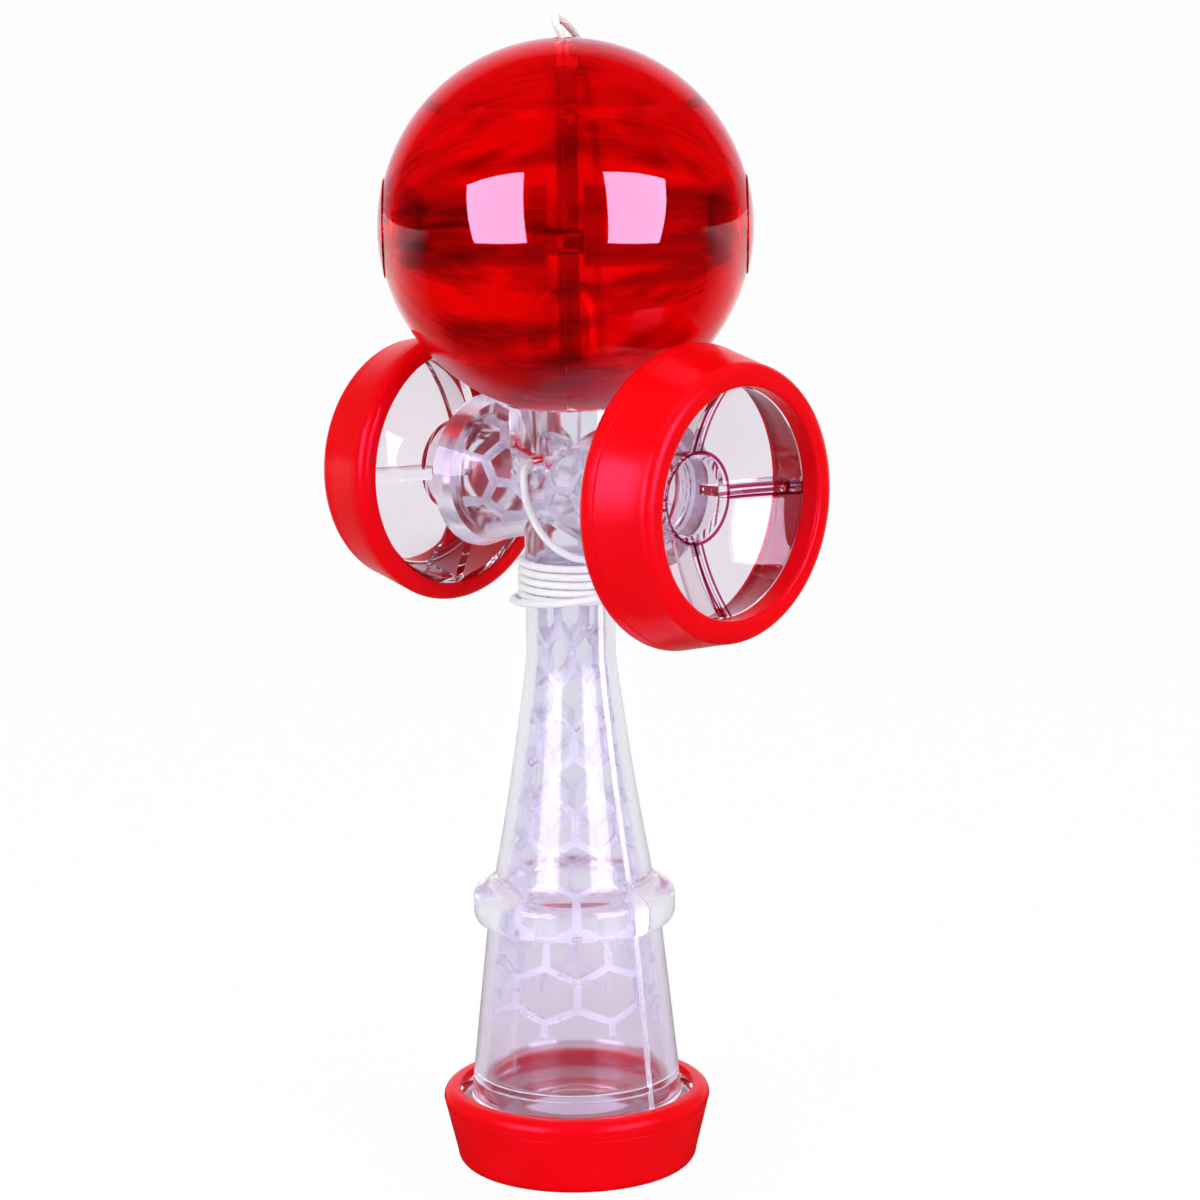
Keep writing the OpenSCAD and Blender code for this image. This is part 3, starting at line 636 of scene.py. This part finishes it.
# Clear body
shell_look = clear_material("clear_shell", SHELL_TINTS, seam=SEAM_SIDE)
for side in ("front", "back"):
    node = f"ken_{side}_shell"
    shell = smooth_copy(node, side + "_shell_clear")
    finish_piece(shell, "clear_plastic", "ken", node, look=shell_look)
cup_look = clear_material("clear_cup", CLEAR_TINTS, shade_lines=True)
for node, look in (("big_cup_dish", cup_look), ("small_cup_dish", cup_look), ("base_cup_dish", None)):
    dish = smooth_copy(node, node + "_clear")
    finish_piece(dish, "clear_plastic", "ken", node, look=look)

# Ball: at each place of its seam, one half's points lie within SEAM_REACH of the plane between the halves
# and come nearer to it. The halves then stand 0.07 mm apart, and the solids 0.12 mm.
SEAM_REACH = 0.06 * MM
SEAM_CLOSED = 0.9


def close_seam(piece):
    """Moves a piece's points that lie within reach of the plane between the halves towards that plane."""
    for vert in piece.data.vertices:
        off = (vert.co - BALL_CENTRE).dot(POLE)
        if abs(off) < SEAM_REACH:
            vert.co -= POLE * off * SEAM_CLOSED


for node in ("tama_left_half", "tama_right_half", "left_cap", "right_cap"):
    piece = smooth_copy(node, node + "_red")
    close_seam(piece)
    finish_piece(piece, "red_clear_plastic", "tama", node)

# Rubber rings, in millimetres
BIG_RING_R = 24.5
SMALL_RING_R = 22.6
BASE_RING_R = 22.15
RING_DEPTH = 13
RING_W = 6.1
RING_TAPER = 2.2
FACE_ROUND = 2
BACK_ROUND = 1.8
MOUTH_ROUND = 0.7
FACE_STEPS = 10
BACK_STEPS = 8
MOUTH_STEPS = 6
SIDE_RINGS = (4, 6, 8)
FRONT_LIP = 3.4
BACK_LIP = 1.4
BACK_LIP_W = 2.7
RING_SKIN = 1.9
FIT = 0.1
GROOVE_AT = 11.3
GROOVE_W = 0.3
GROOVE_D = 0.14
CUP_FACE = 37.5
RING_STEPS = 160
RING_SMOOTH_ANGLE = 35


def ring_profile(r):
    """Profile of a rubber ring: radius, then depth behind its face."""
    mouth = r - RING_W
    slope = RING_TAPER / (RING_DEPTH - BACK_ROUND - FACE_ROUND)

    def side(u):
        return r - RING_TAPER + slope * (u - FACE_ROUND)

    def skirt(u):
        return side(u) - RING_SKIN

    groove = GROOVE_AT - BACK_ROUND
    points = arc(mouth + MOUTH_ROUND, MOUTH_ROUND, MOUTH_ROUND, 180, 270, MOUTH_STEPS)
    points += arc(r - RING_TAPER - FACE_ROUND, FACE_ROUND, FACE_ROUND, 270, 360, FACE_STEPS)
    points += [(side(u), u) for u in SIDE_RINGS]
    points += [(side(groove), groove), (side(groove + GROOVE_W / 2) - GROOVE_D, groove + GROOVE_W / 2),
               (side(groove + GROOVE_W), groove + GROOVE_W)]
    points += arc(r - BACK_ROUND, RING_DEPTH - BACK_ROUND, BACK_ROUND, 0, 90, BACK_STEPS)
    points += [(r - BACK_LIP_W, RING_DEPTH), (r - BACK_LIP_W, RING_DEPTH - BACK_LIP),
               (skirt(RING_DEPTH - BACK_LIP - FIT) + FIT, RING_DEPTH - BACK_LIP),
               (skirt(FRONT_LIP + FIT) + FIT, FRONT_LIP), (mouth, FRONT_LIP)]
    return [(a * MM, b * MM) for a, b in points]


def cup_place(side):
    """Place of a cup's face at the end of the crosspiece: side is 1 for the big cup, -1 for the small."""
    return (Matrix.Translation((side * CUP_FACE * MM, 0, BARREL_Z))
            @ Matrix.Rotation(math.radians(-90 * side), 4, "Y"))


for name, node, radius, place in (
        ("big_ring_rubber", "big_cup_ring", BIG_RING_R, cup_place(1)),
        ("small_ring_rubber", "small_cup_ring", SMALL_RING_R, cup_place(-1)),
        ("base_ring_rubber", "base_cup_ring", BASE_RING_R, Matrix.Identity(4))):
    ring = lathe(name, ring_profile(radius), place, RING_STEPS)
    ring.data.set_sharp_from_angle(angle=math.radians(RING_SMOOTH_ANGLE))
    finish_piece(ring, "red_rubber", "ken", node)

# Stage: softboxes to the left and right of the camera and above it, a pale floor and a white background
CAMERA_AZIMUTH = 43.16
SOFTBOX_FAR = 1.1
LEFT_TURN = -46
RIGHT_TURN = 49
SIDE_ELEVATION = 10
SIDE_SIZE = (0.7, 0.9)
SIDE_STRENGTH = 2.7
TOP_ELEVATION = 70
TOP_SIZE = (0.9, 0.9)
TOP_STRENGTH = 2.3
PANEL_GLOSS = 20
PANEL_THROUGH = 9
PANEL_COLOUR = (1.0, 0.92, 1.1, 1)

# Corners of the two bright reflections on the ball, in pixels of the photograph's frame
PHOTO_SIZE = 1200
LEFT_WINDOW = [(474, 243), (527, 243), (524, 172), (467, 185)]
RIGHT_WINDOW = [(608, 243), (659, 243), (665, 179), (603, 172)]


def direction(azimuth, elevation):
    """Unit vector from the object towards an azimuth and an elevation, in degrees."""
    a, e = math.radians(azimuth), math.radians(elevation)
    return Vector((math.sin(a) * math.cos(e), -math.cos(a) * math.cos(e), math.sin(e)))


BEHIND = -direction(CAMERA_AZIMUTH, 0)


def by_ray(tree, light, gloss, through, camera):
    """A number that differs for rays that light, reflect, go through and come from the camera."""
    path = tree.nodes.new("ShaderNodeLightPath")
    value = light
    for flag, other in (("Is Glossy Ray", gloss), ("Is Transmission Ray", through),
                        ("Is Camera Ray", camera)):
        mix = tree.nodes.new("ShaderNodeMix")
        feed_by_name(tree, mix, {"Factor": path.outputs[flag], "A": value, "B": other})
        value = mix.outputs["Result"]
    return value


def mirrored_corner(px, py):
    """Point of a panel that the ball mirrors at a pixel of the photograph's frame."""
    look = scene.camera.matrix_world.to_3x3()
    across = ((px / PHOTO_SIZE - 0.5) + SHIFT[0]) * SENSOR
    up = ((0.5 - py / PHOTO_SIZE) + SHIFT[1]) * SENSOR
    ray = (look @ Vector((across, up, -LENS))).normalized()
    to_ball = BALL_CENTRE - EYE
    near = to_ball.dot(ray)
    depth = near - math.sqrt(max(0.0, BALL_R ** 2 - to_ball.length_squared + near ** 2))
    hit = EYE + ray * depth
    return hit + ray.reflect((hit - BALL_CENTRE).normalized()) * SOFTBOX_FAR


def softbox(name, azimuth, elevation, size, strength):
    """A lamp that faces the ball and lights surfaces, but doesn't show in gloss or through clear pieces."""
    at = BALL_CENTRE + direction(azimuth, elevation) * SOFTBOX_FAR
    data = bpy.data.lights.new(name, "AREA")
    data.shape = "RECTANGLE"
    data.size, data.size_y = size
    data.energy = strength * size[0] * size[1] * math.pi
    lamp = link(bpy.data.objects.new(name, data))
    turn = (BALL_CENTRE - at).to_track_quat("-Z", "Y").to_matrix().to_4x4()
    lamp.matrix_world = Matrix.Translation(at) @ turn
    lamp.visible_glossy = False
    lamp.visible_transmission = False


def bright_panel(name, window):
    """A panel that shows only in gloss and through clear pieces, shaped by its reflection on the ball."""
    panel = new_mesh(name, [mirrored_corner(*corner) for corner in window], [(0, 1, 2, 3)])
    mat, tree = new_material(name)[:2]
    strength = by_ray(tree, light=PANEL_GLOSS, gloss=PANEL_GLOSS, through=PANEL_THROUGH, camera=PANEL_GLOSS)
    show(tree, emission(tree, PANEL_COLOUR, strength))
    panel.data.materials.append(mat)
    panel.visible_camera = False
    panel.visible_diffuse = False
    panel.visible_shadow = False


softbox("left_softbox", CAMERA_AZIMUTH + LEFT_TURN, SIDE_ELEVATION, SIDE_SIZE, SIDE_STRENGTH)
bright_panel("left_softbox_panel", LEFT_WINDOW)
softbox("top_softbox", CAMERA_AZIMUTH, TOP_ELEVATION, TOP_SIZE, TOP_STRENGTH)
softbox("right_softbox", CAMERA_AZIMUTH + RIGHT_TURN, SIDE_ELEVATION, SIDE_SIZE, SIDE_STRENGTH)
bright_panel("right_softbox_panel", RIGHT_WINDOW)

# Floor: through clear pieces it shows a painted pinkish shade near the object, with the red of the rings in
# it, and in gloss it is white only behind it
FLOOR_HALF = 4
FLOOR_Z = -0.0002
FLOOR_GREY = (0.5, 0.5, 0.5, 1)
FLOOR_SHADE_PINK = (0.94, 0.78, 0.9)
SHADE_PINK_RANGE = (0.05, 0.3)
FLOOR_DARK = 0.03
FLOOR_BEHIND = (0.05, 0.5)

# World: how it fades from in front of the object to behind it, and straight behind it in gloss
WORLD_LILAC = (0.86, 0.81, 0.95)
WORLD_FADE = (-0.35, 0.35)
FRONT_LIGHT = 0.2
FRONT_THROUGH = 0.7
MIRRORED_COLOUR = (1.0, 0.88, 1.0, 1)
MIRRORED_DARK = 0.02
MIRRORED_FADE = (0.68, 1.0)


def add_floor():
    """A pale floor with a soft shadow: near white for the camera, in gloss dark in front of the object, and
    through clear pieces with a painted pinkish shade near it.
    """
    corners = [(x * FLOOR_HALF, y * FLOOR_HALF, FLOOR_Z) for x, y in ((-1, -1), (1, -1), (1, 1), (-1, 1))]
    floor = new_mesh("floor", corners, [(0, 1, 2, 3)])
    mat, tree, shader = new_material("floor")
    shader.inputs["Base Color"].default_value = FLOOR_GREY
    shader.inputs["Roughness"].default_value = 0.7
    here = coordinate(tree)
    # Painted shade: seen through clear pieces, the floor turns from white to a darker pink near the object
    away = spread(tree, vector_math(tree, "LENGTH", here), 0, 1, *SHADE_PINK_RANGE)
    whiteness = by_ray(tree, light=1.0, gloss=1.0, through=away, camera=1.0)
    tint = ramp(tree, whiteness, FLOOR_SHADE_PINK, (1, 1, 1), 0, 1)
    mirrored = spread(tree, vector_math(tree, "DOT_PRODUCT", here, BEHIND), FLOOR_DARK, 1, *FLOOR_BEHIND)
    strength = by_ray(tree, light=1.0, gloss=mirrored, through=1.0, camera=1.03)
    share = by_ray(tree, light=0.0, gloss=1.0, through=0.9, camera=0.93)
    show(tree, mix_shaders(tree, share, shader.outputs["BSDF"], emission(tree, tint, strength)))
    floor.data.materials.append(mat)


def add_world():
    """White behind the object and dimmer lilac in front of it; in gloss, dark except straight behind."""
    world = bpy.data.worlds.new("studio")
    scene.world = world
    world.use_nodes = True
    tree = world.node_tree
    back = tree.nodes["Background"]
    depth = vector_math(tree, "DOT_PRODUCT", coordinate(tree, "Generated"), BEHIND)
    lighting = spread(tree, depth, FRONT_LIGHT, 1, *WORLD_FADE)
    seen_through = spread(tree, depth, FRONT_THROUGH, 1, *WORLD_FADE)
    strength = by_ray(tree, light=lighting, gloss=0.0, through=seen_through, camera=1.0)
    tint = ramp(tree, spread(tree, depth, 0, 1, *WORLD_FADE), WORLD_LILAC, (1, 1, 1), 0, 1)
    feed_by_name(tree, back, {"Color": tint, "Strength": strength})
    mirrored = tree.nodes.new("ShaderNodeBackground")
    gloss_strength = spread(tree, depth, MIRRORED_DARK, 1, *MIRRORED_FADE)
    feed_by_name(tree, mirrored, {"Color": MIRRORED_COLOUR, "Strength": gloss_strength})
    in_gloss = by_ray(tree, light=0.0, gloss=1.0, through=0.0, camera=0.0)
    surface = mix_shaders(tree, in_gloss, back.outputs["Background"], mirrored.outputs["Background"])
    tree.links.new(surface, tree.nodes["World Output"].inputs["Surface"])


add_floor()
add_world()
